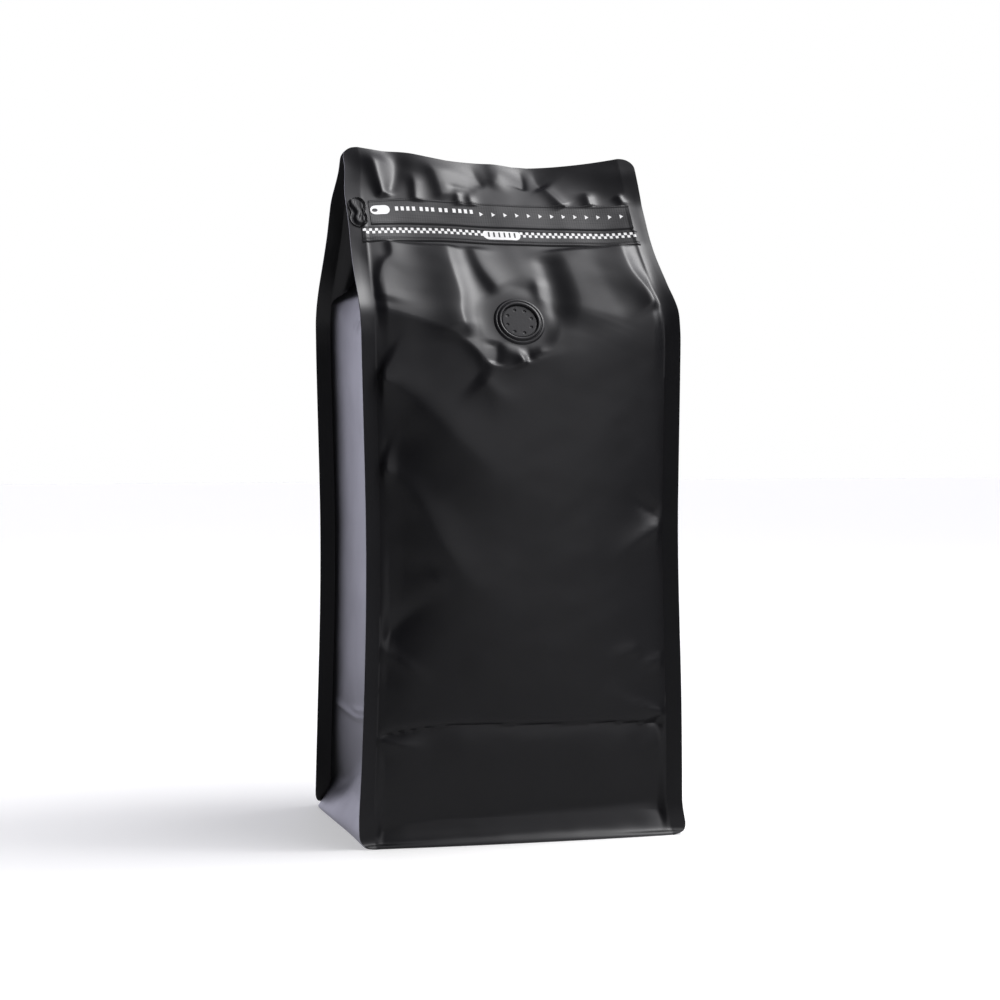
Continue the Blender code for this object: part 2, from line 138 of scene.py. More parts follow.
def panel_base(u, v, facing):
    """A panel without its folds. facing is -1 for the front, which looks to -Y, and 1 for the back."""
    inner = np.clip(u, -SEAM_U, SEAM_U)
    crown = 1 - np.abs(inner / SEAM_U) ** BULGE_POWER
    seam_depth, seam_height = on_line(SEAM_LINE, v)
    centre_depth, centre_height = on_line(CENTRE_LINE, v)
    depth = (1 - crown) * seam_depth + crown * centre_depth
    height = (1 - crown) * seam_height + crown * centre_height
    x = inner * half_width(v) / SEAM_U + sway(v)
    if facing < 0:
        skirt = smooth(1 - v / (SKIRT_V + 8.0))
        depth = depth + 2.5 * skirt * inner / SEAM_U
        x = x + 1.0 * skirt
    close = 1 - 0.6 * smooth((v - 285.0) / (FILM_LENGTH - 285.0))
    y = facing * (depth + CAD_LEAF * close)
    beyond = u - inner
    flare = fin_flare(v)
    x = x + beyond * np.cos(flare)
    y = y + facing * np.abs(beyond) * np.sin(flare)
    return np.stack(np.broadcast_arrays(x, y, height + edge_rise(u, v)), -1)


def unit(a):
    return a / np.maximum(np.linalg.norm(a, axis=-1, keepdims=True), 1e-9)


def panel_normal(u, v, facing, step=1.0):
    u = np.clip(u, -SEAM_U, SEAM_U)
    across = panel_base(u + step, v, facing) - panel_base(u - step, v, facing)
    up = (panel_base(u, np.minimum(v + step, FILM_LENGTH), facing)
          - panel_base(u, np.maximum(v - step, 0), facing))
    return unit(-facing * np.cross(across, up))


# ---------------------------------------------------------------- folds
# Each fold is a line of points on the film, its height in mm (below zero a valley), how far it reaches to
# the left and right of the way it runs, and the shares of its length over which it rises and dies out.
# Then how sharp its crest is (2 is soft, near 1 a crease) and how many times wider its end is than its start.

def fold_sum(folds, a, b):
    total = np.zeros(np.broadcast(a, b).shape)
    for points, height, (left, right), (rise, fall), sharp, widening in folds:
        points = np.array(points, float)
        if len(points) > 2:
            points = rounded_line(points, steps=6)[1]
        lengths = np.concatenate([[0], np.cumsum(np.linalg.norm(np.diff(points, axis=0), axis=1))])
        best = np.full(total.shape, 1e9)
        along = np.zeros(total.shape)
        side = np.zeros(total.shape)
        for i, (p, r) in enumerate(zip(points, points[1:])):
            run = r - p
            size = run @ run
            t = np.clip(((a - p[0]) * run[0] + (b - p[1]) * run[1]) / size, 0, 1)
            far = np.hypot(a - p[0] - t * run[0], b - p[1] - t * run[1])
            near = far < best
            best = np.where(near, far, best)
            along = np.where(near, lengths[i] + t * math.sqrt(size), along)
            side = np.where(near, run[0] * (b - p[1]) - run[1] * (a - p[0]), side)
        share = along / lengths[-1]
        body = smooth(share / rise) * smooth((1 - share) / fall)
        reach = np.where(side > 0, left, right) * (1 + (widening - 1) * share)
        total += height * body * np.exp(-((best / reach) ** sharp))
    return total


UPPER_FOLDS = [
    # the light facet at the left: its crisp left edge
    (((-55, 271), (-55, 262), (-59.3, 256), (-62.3, 247), (-63.5, 235)), 1.1, (8, 2.5), (0.05, 0.1), 1.6, 1),
    # the dark valley and the bright ridge, which runs on down to the shoulder
    (((-29.5, 274), (-29, 259), (-27.2, 244), (-28, 232), (-25.5, 221)), 3.0, (8, 18), (0.02, 0.14), 1.6, 0.5),
    (((-21, 274), (-18.6, 259), (-15.3, 250), (-10.5, 242.5)), -0.45, (3.5, 6), (0.05, 0.15), 1.8, 1),
    (((-16.5, 274), (-13.8, 259), (-9.8, 250.5), (-6, 244)), 1.15, (9, 4.5), (0.05, 0.2), 1.7, 0.9),
    # above and right of the valve: a small ridge, the broad valley, and the soft facet beyond it
    (((10.8, 256), (10.4, 244), (8.5, 236)), 0.8, (5, 3), (0.35, 0.35), 1.8, 1),
    (((16.5, 268), (18, 251), (16, 237), (10, 223)), -0.9, (7, 5), (0.15, 0.3), 2, 1),
    (((27, 273), (29.5, 254), (29.5, 240), (23, 225)), 1.5, (24, 9), (0.1, 0.3), 1.9, 0.9),
    # the dark diagonal and the bright strip along the right seam
    (((56.2, 274), (57, 256), (60.3, 245.5), (65.5, 234)), 2.6, (6, 17), (0.04, 0.1), 1.6, 0.4),
    # creases pressed in under the valve
    (((-12.3, 221), (-13.5, 215), (-15, 209)), -1.1, (3, 4), (0.2, 0.2), 1.7, 1),
    (((-5.2, 221.5), (-4, 216), (-1.8, 209.5)), 1.7, (2.6, 5.5), (0.15, 0.12), 1.5, 0.6),
    (((0.6, 221), (0.8, 215), (0.6, 210.5)), -1.1, (2.2, 1.8), (0.2, 0.3), 1.7, 1),
    (((5.6, 221), (6.4, 214)), 0.7, (3, 2.4), (0.3, 0.35), 1.6, 1),
]
HEADER_FOLDS = [
    # wedges that start wide at the top edge and come to a point over the tear strip
    (((-61, 323), (-58.2, 308), (-55.4, 294.5)), 2.0, (14, 6), (0.02, 0.06), 1.6, 0.28),
    (((-46, 323), (-48.7, 308), (-53, 295.5)), -1.0, (6, 5), (0.05, 0.2), 1.8, 0.4),
    (((-40, 312), (-39.6, 294.5)), 1.0, (4.5, 3), (0.45, 0.08), 1.6, 0.7),
    (((-32, 323), (-29, 312), (-25.6, 297)), 1.1, (11, 5), (0.05, 0.15), 1.7, 0.7),
    (((-19.2, 305), (-18.6, 294.5)), 0.8, (2.6, 2.2), (0.5, 0.1), 1.6, 1),
    (((-13.2, 304), (-12.6, 294.5)), 0.8, (2.6, 2.2), (0.5, 0.1), 1.6, 1),
    (((-25, 306), (-8, 304.5)), -0.3, (1.6, 2.6), (0.3, 0.3), 1.6, 1),
    (((-10, 323), (-7.5, 313), (-4.4, 305.5)), -0.7, (4, 8), (0.05, 0.25), 1.6, 0.5),
    (((5.5, 323), (3, 313), (-1.5, 306)), 0.6, (8, 5), (0.05, 0.3), 1.6, 0.6),
    (((17, 321), (17, 313), (15.5, 306)), -0.9, (2.6, 6), (0.15, 0.15), 1.5, 0.6),
    (((24, 323), (24.5, 312), (28, 305)), -0.9, (7, 4), (0.05, 0.3), 1.5, 0.6),
    (((25, 309.5), (29, 302.5), (33.6, 294.5)), 1.3, (4, 4), (0.2, 0.08), 1.5, 0.8),
    (((46.6, 305), (46.8, 294.3)), 1.3, (3.6, 4.4), (0.5, 0.1), 1.5, 0.8),
    (((61.5, 301), (64.5, 293)), 0.9, (2.2, 2.8), (0.4, 0.15), 1.6, 0.8),
]
LOWER_FOLDS = [
    # soft streaks that run down from pinches at the left seam
    (((-67, 205), (-59, 200), (-45, 189.5), (-28, 174), (-10, 156), (3, 140)), 3.2, (9, 12), (0.04, 0.6), 1.7, 1.8),
    (((-66.5, 204), (-57, 198)), 1.28, (2.6, 2.0), (0.15, 0.8), 1.3, 1.6),
    (((-23, 206), (-14.5, 197.5), (0, 186)), 1.6, (4, 8), (0.2, 0.6), 1.6, 1.8),
    (((-67, 166), (-60, 162), (-50, 151), (-42.5, 137), (-32, 121), (-17, 110), (4, 104)), 2.6,
     (7, 10), (0.03, 0.6), 1.6, 2),
    (((-67, 165.5), (-58, 161)), 1.28, (2.0, 2.4), (0.1, 0.8), 1.25, 1.6),
    (((-67, 89.5), (-60, 96.5), (-49, 105.5), (-34, 110)), -1.76, (3, 4), (0.03, 0.7), 1.5, 2),
    (((-67, 90), (-57, 82.5), (-42, 71)), 1.44, (2.4, 4), (0.05, 0.6), 1.4, 2),
    (((-50, 122), (-34, 112)), 0.8, (3, 4), (0.5, 0.5), 1.7, 1),
    (((-57, 204), (-55.5, 180), (-58.5, 166), (-56.5, 150), (-56, 120), (-59, 90), (-57, 62)), -1.7, (11, 8), (0.1, 0.2), 1.6, 1),
    # pinches at the right seam
    (((67, 140), (53, 134), (36, 123)), 1.76, (4, 2.2), (0.04, 0.7), 1.35, 2.2),
    (((67, 142), (56, 148), (46, 157)), -1.44, (3, 3), (0.1, 0.6), 1.6, 1.8),
    (((56, 85.5), (36, 82.5)), 0.96, (3, 2.4), (0.4, 0.5), 1.6, 1.4),
    (((66.5, 80), (50, 76.5)), 1.28, (2.2, 1.8), (0.1, 0.6), 1.4, 1.6),
    (((68, 54), (58.5, 57), (48, 61), (30, 70)), 1.44, (3.4, 2.2), (0.05, 0.7), 1.4, 2),
    (((68, 52.5), (55, 51.5)), -1.28, (1.6, 1.8), (0.1, 0.6), 1.3, 1.2),
    # the fold of the bottom, pressed into the panel, and the top of the skirt
    (((-67, 49.2), (-59.5, 50.7), (-47.7, 52.8), (-34.8, 54), (-21.6, 54.2), (-3.7, 53.6), (14.7, 53),
      (36, 52.5), (67, 50)), -2.1, (1.6, 6), (0.02, 0.02), 1.05, 0.7),
    (((-67, 49.0), (-56, 46.5), (-40, 43.5)), 2.0, (2.6, 3.4), (0.03, 0.7), 1.4, 2),
    (((-68, 5), (-61, 8.5), (-50, 11), (-30, 12.5), (0, 13.2), (40, 14), (55, 14), (61, 12.2), (68.5, 8)),
     -2.0, (15, 5), (0.03, 0.03), 1.25, 1),
]
# gusset folds run in (q, v), with the front seam at q = -51
LEFT_GUSSET_FOLDS = [
    (((49, 51.5), (26, 49.6), (7, 49), (-17, 52.3), (-32, 56)), 0.55, (1.3, 1.8), (0.1, 0.3), 1.4, 1),
    (((20, 52.5), (0, 53), (-23, 57.5)), 0.4, (1.2, 1.6), (0.3, 0.3), 1.4, 1),
    (((3, 226), (-8, 231.5), (-22, 237)), -0.9, (3.0, 1.2), (0.2, 0.2), 1.4, 1),
]
RIGHT_GUSSET_FOLDS = [
    (((-47, 58), (0, 57), (40, 55)), -0.5, (1.0, 2.4), (0.1, 0.3), 1.2, 1),
    (((-8, 220), (-2, 140), (-10, 60)), 0.8, (14, 14), (0.3, 0.3), 2.0, 1),
    (((50, 150), (16, 130)), 1.0, (3, 6), (0.05, 0.7), 1.5, 2),
    (((-50, 120), (-18, 102)), 1.0, (3, 6), (0.05, 0.7), 1.5, 2),
]
BACK_FOLDS = [
    (((-67, 231), (-40, 228), (0, 216), (40, 228), (67, 231)), 2.2, (12, 7), (0.04, 0.04), 1.4, 1),
    (((-34, 273), (-22, 242), (-10, 218)), 2.2, (10, 6), (0.05, 0.1), 1.5, 1),
    (((32, 273), (20, 242), (8, 218)), 2.0, (6, 10), (0.05, 0.1), 1.5, 1),
    (((-54, 323), (-48, 296)), 1.4, (7, 5), (0.05, 0.3), 1.6, 0.5),
    (((22, 323), (14, 298)), 1.4, (7, 6), (0.05, 0.3), 1.6, 0.5),
    (((67, 160), (40, 148), (0, 110)), 1.2, (8, 9), (0.04, 0.6), 1.6, 2),
    (((-67, 118), (-44, 106), (-10, 70)), 1.2, (8, 9), (0.04, 0.6), 1.6, 2),
    (((-67, 50), (0, 53), (67, 50)), -0.8, (1.3, 5), (0.02, 0.02), 1.1, 1),
    (((-61, 10.5), (0, 12), (62, 10)), -0.8, (3.2, 1.3), (0.06, 0.06), 1.1, 1),
]


def unevenness(a, b, seed, sizes, height):
    """Soft random swells: a few hundredths of a millimetre that make the film's reflections uneven."""
    random = np.random.default_rng(seed)
    total = np.zeros(np.broadcast(a, b).shape)
    for size in sizes:
        for _ in range(7):
            angle, phase = random.uniform(0, 2 * np.pi, 2)
            way = (a * np.cos(angle) + b * np.sin(angle)) * 2 * np.pi / size
            total += size / sizes[0] * np.sin(way + phase + 1.3 * np.sin(way * 0.43 + phase * 2))
    return height * total / math.sqrt(7 * len(sizes))


# ---------------------------------------------------------------- the film
VALVE_U, VALVE_V = -1.2, 231.0
VALVE_CENTRE = panel_base(np.array(VALVE_U), np.array(VALVE_V), -1)
VALVE_NORMAL = panel_normal(np.array(VALVE_U), np.array(VALVE_V), -1, step=6.0)


SHOULDER_LINE = rounded_line((
    (-67, 232.5), (-55, 230.5), (-46, 228.5), (-37, 225.5), (-29.5, 222), (-24, 217.5), (-20, 213),
    (-15.5, 209.6), (-8, 208.6), (-0.5, 210.6), (10, 213.5), (24, 217.5), (40, 223), (55, 228), (67, 230)))[1]


def shoulder(u, v):
    """The fold above which the panel leans back: crisp at the left, soft right of the valve."""
    above = v - np.interp(u, SHOULDER_LINE[:, 0], SHOULDER_LINE[:, 1])
    soft = smooth((u - 4.0) / 22.0)
    reach = np.where(above > 0, 13 + 3 * soft, 6 + 9 * soft)
    return 2.4 * np.exp(-(np.abs(above) / reach) ** (1.15 + 0.75 * soft)) * smooth((SEAM_U - np.abs(u)) / 6.0)


def hollow(u, v):
    """The panel sinks in along the zipper, below the header."""
    above = v - 275.0
    return -2.2 * np.exp(-(above / np.where(above > 0, 21.0, 15.0)) ** 2) * smooth((72.0 - np.abs(u)) / 30.0)


def front_folds(u, v):
    """The front's folds, which die out before the zipper band and the tear strip."""
    upper = fold_sum(UPPER_FOLDS, u, v) * smooth((272.5 - v) / 4.0)
    header = fold_sum(HEADER_FOLDS, u, v) * smooth((v - 291.0) / 4.5)
    return fold_sum(LOWER_FOLDS, u, v) + upper + header


def back_folds(u, v):
    return fold_sum(BACK_FOLDS, u, v)


def own_height(u, v, folds, seed):
    """How far a panel's own folds lift the film off the plain panel."""
    reach = SEAM_U + FIN_WIDTH * smooth((v - 240.0) / 36.0)
    quiet = smooth((reach - np.abs(u)) / 4.0) * smooth(v / 8.0) * smooth((FILM_LENGTH + 0.5 - v) / 9.0)
    seal = 0.3 * np.exp(-(((np.abs(u) - SEAM_U) / 0.8) ** 2)) * smooth((v - 222.0) / 8.0) * smooth((300.0 - v) / 20.0)
    return quiet * (folds(u, v) + unevenness(u, v, seed, (46.0, 27.0, 15.0), 0.22)) + hollow(u, v) + seal


def panel_height(u, v, facing):
    """How far the folds lift the film off the plain panel. In the shut header the back follows the front."""
    front = own_height(u, v, front_folds, 3) + shoulder(u, v)
    if facing < 0:
        return front
    shut = smooth((v - 284.0) / 18.0)
    return (1 - shut) * own_height(u, v, back_folds, 4) - shut * front


BOW_LINE = rounded_line((
    (-75, -1.8), (-67, -1.6), (-56, 1.4), (-45, 3.8), (-28, 5.2), (0, 4.8), (25, 4.4), (45, 3.2), (67, 1.0), (75, 0.4)))[1]


def line_bow(u, v):
    """How far the film's level lines rise in the middle of the header, round the zipper."""
    rise = np.interp(u, BOW_LINE[:, 0], BOW_LINE[:, 1])
    return rise * smooth((v - 225.0) / 38.0) * smooth((FILM_LENGTH - v) / 26.0)


def width_change(u, v):
    """How far the waved header draws its edges in, and the right side of the foot spreads out."""
    right = -1.2 * smooth((v - 232.0) / 16.0) - 1.3 * smooth((v - 294.0) / 20.0) + 1.0 * smooth((150.0 - v) / 90.0)
    left = -1.7 * smooth((v - 292.0) / 20.0)
    return np.where(u > 0, right, left) * u / 70.0


def panel_point(u, v, facing, lift=0.0):
    u, v = np.broadcast_arrays(np.asarray(u, float), np.asarray(v, float))
    if facing < 0:
        v = v + line_bow(u, v)
    point = panel_base(u, v, facing)
    normal = panel_normal(u, v, facing)
    point = point + normal * (panel_height(u, v, facing) + lift)[..., None]
    if facing < 0:
        out = (point - VALVE_CENTRE) @ VALVE_NORMAL
        level = point - VALVE_NORMAL * (out - lift)[..., None]
        away = np.hypot(u - VALVE_U, v - VALVE_V)
        flat = smooth((19.0 - away) / 7.5)[..., None]
        point = point * (1 - flat) + level * flat
    point[..., 1] += header_wave(point[..., 0], point[..., 2])
    point[..., 0] += width_change(u, v)
    return point


ROOF_START_V = 220.0
ROOF_V_RISE = 23.5
ROOF_BEND_V = 242.0
FACET_SLOPE = 0.22


def roof_share(v, share):
    """How far the gusset has folded in, of all the way. A gentle facet starts along a wide V, and
    bends over at one height into the steep roof."""
    start = ROOF_START_V + ROOF_V_RISE * share**1.1
    end = 0.995 * FILM_LENGTH
    steep = v - ROOF_BEND_V
    steep = np.where(np.abs(steep) < 2.0, (steep + 2.0) ** 2 / 8.0, np.maximum(steep, 0.0)) / (end - ROOF_BEND_V)
    gentle = np.maximum(v - start, 0.0) / (end - start)
    return np.clip(FACET_SLOPE * gentle + (1 - FACET_SLOPE) * steep, 0.0, 0.96)


def crease_share(v):
    low, high = np.zeros(np.shape(v)), np.ones(np.shape(v))
    for _ in range(30):
        middle = (low + high) / 2
        more = 1 - middle > roof_share(v, middle)
        low, high = np.where(more, middle, low), np.where(more, high, middle)
    return low


def leaf_point(side, facing, inset, v):
    """Gusset film where it lies against the inside of a panel, inset from its seam."""
    clear = 2.6 * smooth(inset / 6.0) * smooth((FILM_LENGTH - v) / 14.0)
    return panel_point(side * (SEAM_U - inset), v, facing, -LEAF - clear)


def foot_inset(q, z):
    share = np.abs(q) / HALF_GUSSET
    along = (HALF_GUSSET - q) / (2 * HALF_GUSSET)
    fold = 4.0 + 51.0 * along
    pit = 4.0 * (1 - share**4) * np.exp(-np.abs((z - fold) / np.where(z < fold, 12.0, 24.0)) ** 1.3)
    flange = 4.2 + 2.3 * smooth((q + 30.0) / 80.0)
    return pit * smooth(z / 6.0) - flange * (1 - share**30) * smooth(1 - z / 16.0)


def gusset_point(side, q, v):
    """Gusset film. q runs from the front seam at -HALF_GUSSET to the back one."""
    q, v = np.broadcast_arrays(np.asarray(q, float), np.asarray(v, float))
    share = np.abs(q) / HALF_GUSSET
    crease = crease_share(v)
    facing = np.sign(q)
    leaf_inset = HALF_GUSSET * (1 - np.maximum(share, crease))
    ends = [leaf_point(side, f, leaf_inset, v) for f in (-1, 1)]
    on_leaf = np.where((facing < 0)[..., None], ends[0], ends[1])
    t = np.clip((q / HALF_GUSSET / np.maximum(crease, 1e-6) + 1) / 2, 0, 1)[..., None]
    across = ends[0] * (1 - t) + ends[1] * t
    folded = HALF_GUSSET * (roof_share(v, share) - roof_share(v, crease))
    taut = 1 - np.clip((v - SHOULDER_V) / (FILM_LENGTH - SHOULDER_V), 0, 1)
    hollow = 1.6 * (1 - ((q - 12.0) / np.where(q < 12.0, 63.0, 39.0)) ** 2) * taut * smooth(v / 40.0)
    bumps = fold_sum(RIGHT_GUSSET_FOLDS if side > 0 else LEFT_GUSSET_FOLDS, q, v)
    bumps += unevenness(q, v, 8 + side, (60.0, 33.0, 17.0), 0.18)
    bumps *= smooth((1 - share) / 0.12) * smooth(v / 8.0)
    inset = folded + hollow + foot_inset(q, across[..., 2]) * smooth(taut) - bumps * taut
    across[..., 0] -= side * inset
    return np.where((share >= crease)[..., None], on_leaf, across)


def corner_trim(v):
    radius = np.where(v > FILM_LENGTH / 2, TOP_CORNER_RADIUS, FOOT_CORNER_RADIUS)
    drop = np.clip(radius - np.maximum(np.minimum(v - 0.2, FILM_LENGTH - v), 0.0), 0, None)
    return FIN_WIDTH - radius + np.sqrt(radius**2 - drop**2)


def fin_points(side, facing, v, shares, behind):
    """Columns across a corner fin, from its seam to its rounded outer edge, on its front or rear face."""
    beyond = corner_trim(v)[:, None] * np.array(shares)[None, :]
    rows = np.broadcast_to(v[:, None], beyond.shape)
    points = panel_point(side * (SEAM_U + beyond), rows, facing)
    if behind:
        flare = fin_flare(rows)
        back = np.stack([side * np.sin(flare), -facing * np.cos(flare), np.zeros(flare.shape)], -1)
        points = points + FIN_THICK * back
    return points


def film_rows():
    """Heights up the film, close together where it is folded."""
    return np.concatenate([
        np.array([0.0, 0.6, 1.2, 1.8, 2.4, 3.0]), np.arange(3.8, 12.0, 0.8), np.arange(12.0, 46.0, 1.9),
        np.arange(46.0, 58.0, 0.9), np.arange(58.0, 196.0, 2.2), np.arange(196.0, 204.0, 1.2),
        np.arange(204.0, FILM_LENGTH - 7.0, 0.82), FILM_LENGTH - np.array([6.4, 5.4, 4.4, 3.4, 2.5, 1.7, 1.0, 0.5, 0.2, 0.0]),
    ])


def mesh_object(name, points, faces, material, slot, sharp=40.0):
    mesh = bpy.data.meshes.new(name)
    mesh.from_pydata([tuple(p) for p in np.asarray(points) * MM], [], faces)
    mesh.update()
    mesh.materials.append(material)
    obj = bpy.data.objects.new(name, mesh)
    bpy.context.scene.collection.objects.link(obj)
    mesh.shade_smooth()
    if sharp:
        mesh.set_sharp_from_angle(angle=math.radians(sharp))
    obj["slot"] = slot
    return obj


def attach(obj, *nodes):
    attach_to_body(obj, "root")
    if nodes:
        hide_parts(*nodes)
    return obj


def recalculated(obj):
    bm = bmesh.new()
    bm.from_mesh(obj.data)
    bmesh.ops.recalc_face_normals(bm, faces=bm.faces)
    bm.to_mesh(obj.data)
    bm.free()
    obj.data.update()
    return obj


def ring_faces(rows, columns):
    """Quads of a closed loft whose rings each have the same number of points."""
    i = np.arange(rows - 1)[:, None] * columns
    j = np.arange(columns)[None, :]
    k = (j + 1) % columns
    return np.stack([i + j, i + k, i + columns + k, i + columns + j], -1).reshape(-1, 4)


def build_bag(material):
    v = film_rows()
    u = np.linspace(-SEAM_U, SEAM_U, 201)
    out, back = (0.06, 0.3, 0.6, 0.88, 1.0), (1.0, 0.5, 0.08)
    front = panel_point(u[None, :], v[:, None], -1)
    rear = panel_point(np.linspace(-SEAM_U, SEAM_U, 61)[None, :], v[:, None], 1)
    crease = np.minimum(crease_share(v), 0.88)
    leaf = np.linspace(1, 0, 9)[:-1]
    roof = np.linspace(-1, 1, 23)
    q = np.concatenate([-(crease[:, None] + (1 - crease[:, None]) * leaf), crease[:, None] * roof,
                        (crease[:, None] + (1 - crease[:, None]) * leaf)[:, ::-1]], 1) * HALF_GUSSET
    rows = np.broadcast_to(v[:, None], q.shape)
    right, left = gusset_point(1, q, rows), gusset_point(-1, q, rows)

    def fin(side, facing):
        return np.concatenate([fin_points(side, facing, v, out, False),
                               fin_points(side, facing, v, back, True)], 1)

    ring = np.concatenate([front, fin(1, -1), right, fin(1, 1)[:, ::-1], rear[:, ::-1],
                           fin(-1, 1), left[:, ::-1], fin(-1, -1)[:, ::-1]], 1)
    rows, columns = ring.shape[:2]
    faces = [tuple(f) for f in ring_faces(rows, columns).tolist()]
    obj = mesh_object("bag_film", ring.reshape(-1, 3), faces, material, "film")
    bm = bmesh.new()
    bm.from_mesh(obj.data)
    bm.verts.ensure_lookup_table()
    for start in (0, (rows - 1) * columns):
        loop = [bm.verts[start + i] for i in range(columns)]
        edges = [bm.edges.get((a, b)) for a, b in zip(loop, loop[1:] + loop[:1])]
        bmesh.ops.triangle_fill(bm, edges=edges, use_beauty=True, use_dissolve=False, normal=(0, 0, 1))
    bmesh.ops.recalc_face_normals(bm, faces=bm.faces)
    bm.to_mesh(obj.data)
    bm.free()
    obj.data.update()
    obj.data.set_sharp_from_angle(angle=math.radians(40))
    return attach(obj, "bag")


def draped(points, lift_scale=1.0, base_lift=0.0):
    """Flat points (u, v, lift) in mm, laid on the front panel."""
    points = np.asarray(points, float)
    return panel_point(points[:, 0], points[:, 1], -1, base_lift + points[:, 2] * lift_scale)


def sheet(name, u, v, lift, material, slot, under=0.03):
    """A closed thin piece on the front panel, from a grid of (u, v) with its top at the lift."""
    rows, columns = u.shape
    top = panel_point(u, v, -1, lift)
    bottom = panel_point(u, v, -1, np.full(u.shape, under))
    ring = np.concatenate([top, bottom[:, ::-1]], 1)
    faces = [tuple(f) for f in ring_faces(rows, 2 * columns).tolist()]
    for start in (0, (rows - 1) * 2 * columns):
        for i in range(columns - 1):
            faces.append((start + i, start + i + 1, start + 2 * columns - 2 - i, start + 2 * columns - 1 - i))
    obj = mesh_object(name, ring.reshape(-1, 3), faces, material, slot)
    recalculated(obj)
    return obj


def flat_map(obj):
    """A UV map in centimetres across the film and up it, for patterns that follow a band."""
    layer = obj.data.uv_layers.new(name="UVMap")
    place = np.array([v.co for v in obj.data.vertices])
    for loop in obj.data.loops:
        x, _, z = place[loop.vertex_index]
        layer.data[loop.index].uv = (x * 100, z * 100)


def band_lift(v, low, high, edge, middle):
    """Across a band: a raised rib along each edge and a flat middle."""
    ribs = np.maximum(np.exp(-((v - low - 0.9) / 0.45) ** 4), np.exp(-((v - high + 0.9) / 0.45) ** 4))
    ends = smooth((v - low) / 0.4) * smooth((high - v) / 0.4)
    return 0.05 + ends * (middle - 0.05 + (edge - middle) * ribs)


def build_zipper_band(material):
    low, high = ZIPPER_V
    v = np.concatenate([np.arange(low, low + 2.6, 0.2), np.arange(low + 2.6, high - 2.2, 0.4),
                        np.arange(high - 2.2, high + 0.01, 0.2)])
    u = np.linspace(-BAND_END_U, BAND_END_U, 207)
    u, v = np.meshgrid(u, v)
    lift = band_lift(v, low, high, 0.62, 0.4)
    lift += 0.25 * np.exp(-((v - low - 2.1) / 0.35) ** 2)
    return attach(sheet("zipper_band", u, v, lift, material, "band"), "zipper_band")


def build_tear_strip(material):
    low, high = TEAR_STRIP_V
    v = np.concatenate([np.arange(low, low + 2.2, 0.2), np.arange(low + 2.2, high - 2.2, 0.5),
                        np.arange(high - 2.2, high + 0.01, 0.2)])
    u = np.linspace(-62.6, 66.3, 197)
    u, v = np.meshgrid(u, v)
    lift = band_lift(v, low, high, 0.55, 0.34)
    return attach(sheet("tear_strip", u, v, lift, material, "band"), "tear_strip")


def distance_to(line, x, y):
    """Distance from each point to a polyline."""
    best = np.full(np.shape(x), 1e9)
    for (x0, y0), (x1, y1) in zip(line, line[1:]):
        run = np.array([x1 - x0, y1 - y0])
        t = np.clip(((x - x0) * run[0] + (y - y0) * run[1]) / (run @ run), 0, 1)
        best = np.minimum(best, np.hypot(x - x0 - t * run[0], y - y0 - t * run[1]))
    return best


TAB_U, TAB_V = -68.2, 285.6
TAB_HALF_HEIGHT = 8.3


def build_pull_tab(material):
    """A figure of eight pressed into the film, with an S-shaped ridge and a doubled edge at its right."""
    y = np.linspace(-TAB_HALF_HEIGHT, TAB_HALF_HEIGHT, 71)
    x = np.linspace(-1, 1, 41)
    x, y = np.meshgrid(x, y)
    share = np.abs(y) / TAB_HALF_HEIGHT
    half = 4.4 * np.sqrt(np.clip(1 - np.clip((share - 0.42) / 0.58, 0, 1) ** 2, 0.01, 1)) - 0.9 * (1 - smooth(share / 0.4))
    x = x * half
    spine = rounded_line(((-2.2, 6.0), (-2.0, 4.2), (-0.6, 1.6), (0.1, -0.8), (-0.9, -3.4), (-0.3, -5.6), (1.6, -6.3)),
                         steps=8)[1]
    ridge = np.exp(-(distance_to(spine, x, y) / 1.15) ** 4)
    edge = half - np.abs(x)
    lip = np.exp(-((edge - 0.35) / 0.3) ** 2) * np.where(x > 0, 1.0, 0.7)
    inner_lip = np.exp(-((edge - 1.25) / 0.26) ** 2) * (x > 0) * 0.9
    lift = 0.1 + 1.1 * ridge + 0.55 * np.maximum(lip, inner_lip)
    lift *= smooth(edge / 0.2) * 0.85 + 0.15
    piece = sheet("pull_tab", TAB_U + x, TAB_V + y, lift, material, "band")
    return attach(piece, "pull_tab")


# ---------------------------------------------------------------- the valve
def valve_points(x, y, h):
    """Points in the valve's own plane, with h out of the film, placed on the bag."""
    side = np.cross([0.0, 0.0, 1.0], VALVE_NORMAL)
    side /= np.linalg.norm(side)
    up = np.cross(VALVE_NORMAL, side)
    return VALVE_CENTRE + x[..., None] * side + y[..., None] * up + h[..., None] * VALVE_NORMAL


def lathed(name, profile, material, slot, steps=160, heights=None):
    """A closed piece turned round the valve's axis; a profile end at radius 0 is one point."""
    angle = np.linspace(0, 2 * np.pi, steps, endpoint=False)
    points, rings = [], []
    for radius, height in profile:
        count = 1 if radius == 0 else steps
        turn = angle[:count]
        x, y = radius * np.cos(turn), radius * np.sin(turn)
        h = np.full(count, height)
        if heights is not None:
            h = h + heights(x, y)
        rings.append(range(len(points), len(points) + count))
        points.extend(valve_points(x, y, h))
    faces = []
    pairs = list(zip(rings, rings[1:])) + ([] if profile[0][0] == 0 else [(rings[-1], rings[0])])
    for a, b in pairs:
        for i in range(steps):
            j = (i + 1) % steps
            if len(a) == 1:
                faces.append((a[0], b[i], b[j]))
            elif len(b) == 1:
                faces.append((a[i], b[0], a[j]))
            else:
                faces.append((a[i], b[i], b[j], a[j]))
    return recalculated(mesh_object(name, np.array(points), faces, material, slot, sharp=30.0))


